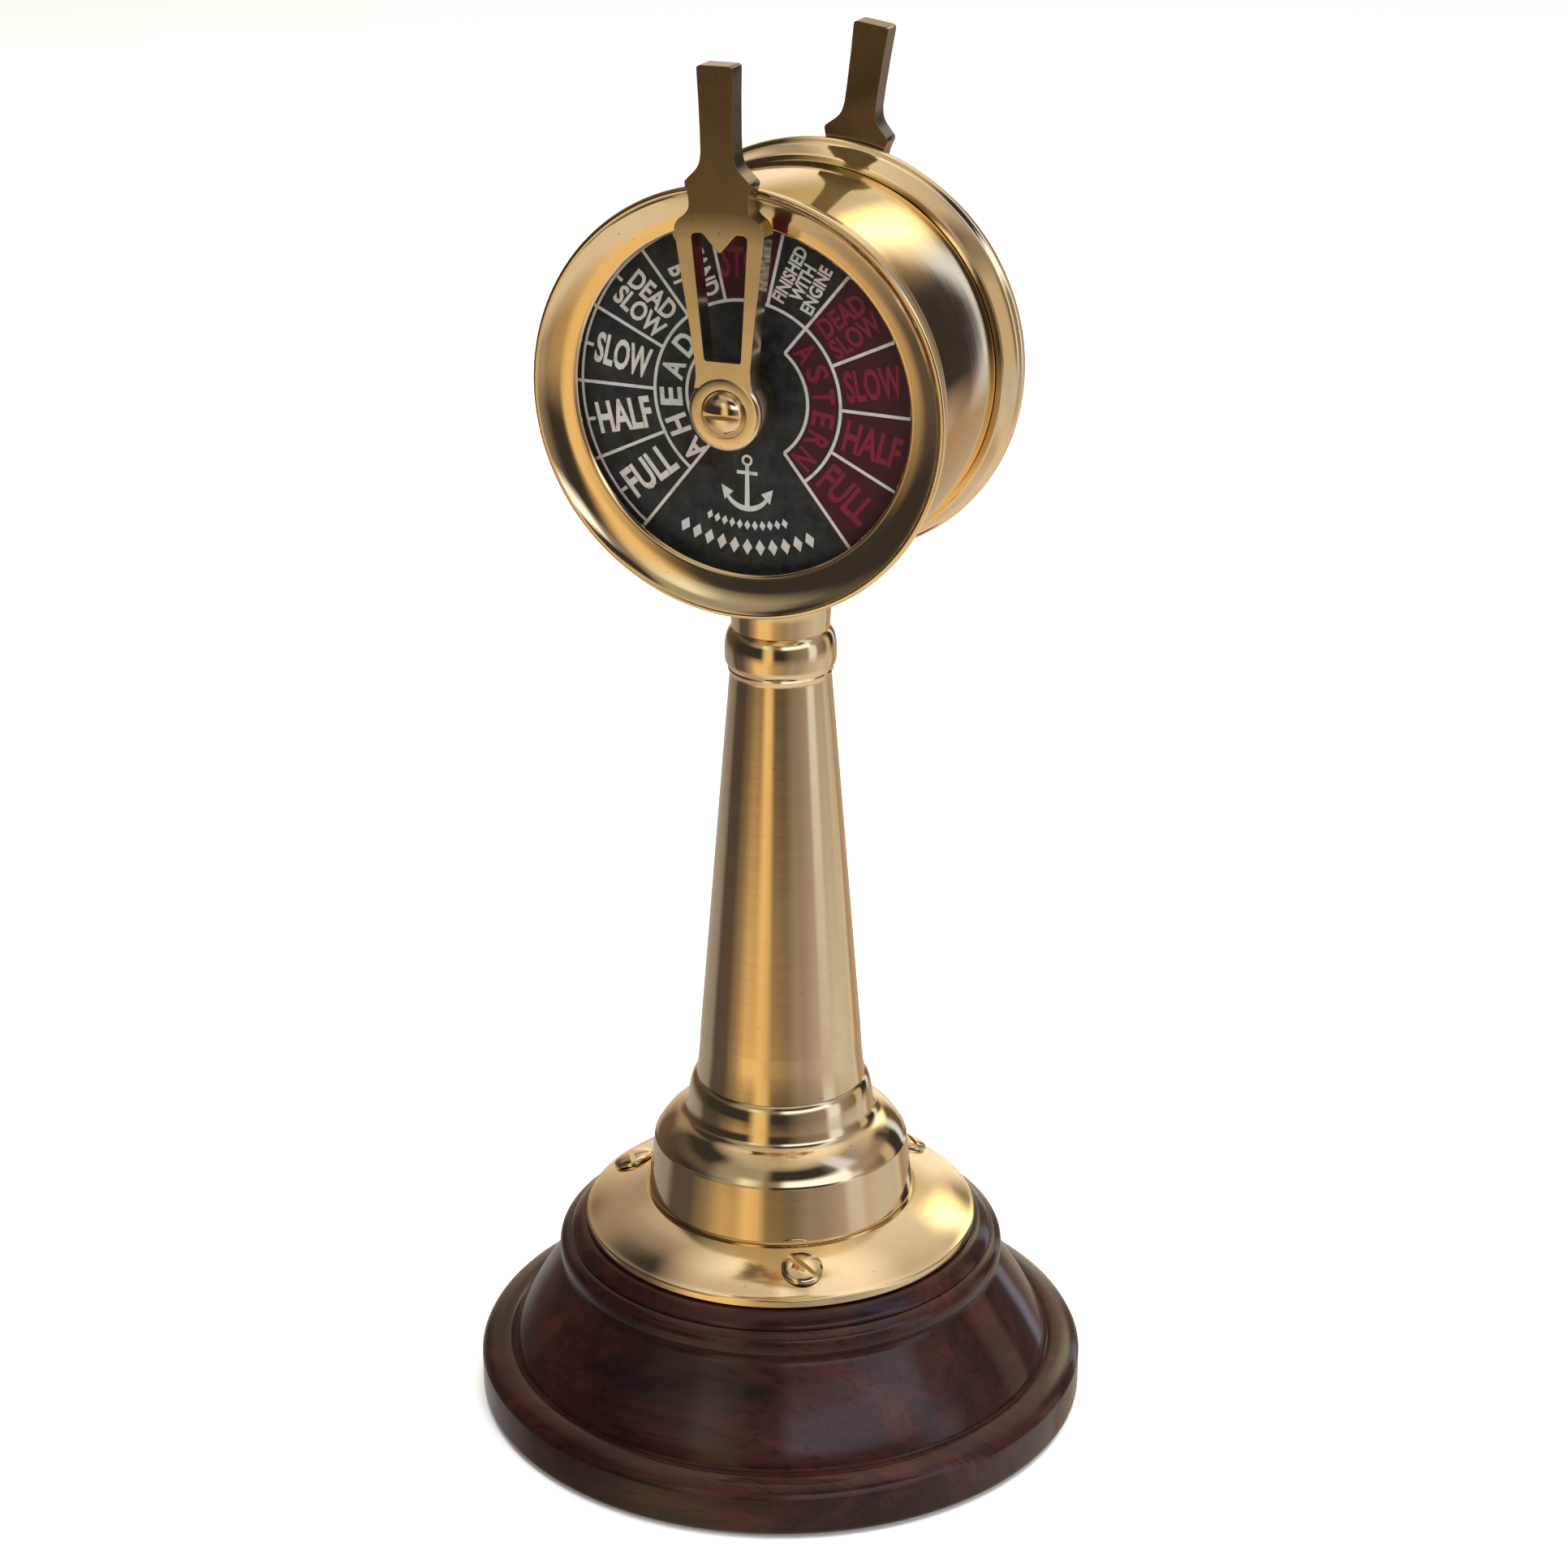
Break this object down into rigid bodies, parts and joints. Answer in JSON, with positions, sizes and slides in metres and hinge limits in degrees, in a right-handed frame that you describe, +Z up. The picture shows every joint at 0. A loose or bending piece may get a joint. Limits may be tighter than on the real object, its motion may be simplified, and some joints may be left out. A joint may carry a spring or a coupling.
{
  "type": "ship engine telegraph",
  "caption": "Desk ship's engine telegraph: round two-faced brass drum head with order dials and swinging levers, on a tapered column, flanged foot and turned wood base.",
  "frame": {"origin": "on the table under the middle of the column, at the felt's underside", "axes": "+Z up along the column; -Y is where the front dial faces; +X is to the right of someone facing the front dial"},
  "size_m": [0.1016, 0.1016, 0.2287],
  "materials": {
    "polished_brass": "polished and lacquered",
    "dark_brass": "darkened, satin",
    "plated_steel": "zinc plated",
    "dark_wood": "dark red-brown stain under gloss lacquer",
    "green_felt": "felt",
    "black_dial": "satin black with white and dark red print"
  },
  "bodies": {
    "stand": {"felt_pad": "green_felt", "wood_base": "dark_wood", "base_plate": "polished_brass", "plate_screw_1": "polished_brass", "plate_screw_2": "polished_brass", "plate_screw_3": "polished_brass", "pedestal_foot": "polished_brass", "column": "polished_brass", "neck_collar": "polished_brass", "tie_rod": "plated_steel", "rod_washer": "plated_steel", "rod_nut": "plated_steel", "head_saddle": "polished_brass", "saddle_screw_1": "plated_steel", "saddle_screw_2": "plated_steel", "drum_barrel": "polished_brass", "cross_spindle": "plated_steel", "front_bezel": "polished_brass", "front_dial": "black_dial", "front_bearing_plate": "dark_brass", "front_hub_spacer": "polished_brass", "front_lever_screw": "polished_brass", "rear_bezel": "polished_brass", "rear_dial": "black_dial", "rear_bearing_plate": "dark_brass", "rear_hub_spacer": "polished_brass", "rear_lever_screw": "polished_brass"},
    "front_lever": {"front_lever": "dark_brass"},
    "rear_lever": {"rear_lever": "dark_brass"}
  },
  "joints": [
    {"name": "front_lever_swing", "type": "hinge", "parent": "stand", "child": "front_lever", "pos_m": [0, -0.0199, 0.1769], "axis": [0, 1, 0], "range_deg": [-126, 128.6]},
    {"name": "rear_lever_swing", "type": "hinge", "parent": "stand", "child": "rear_lever", "pos_m": [0, 0.0199, 0.1769], "axis": [0, 1, 0], "range_deg": [-135.3, 119.3]}
  ]
}
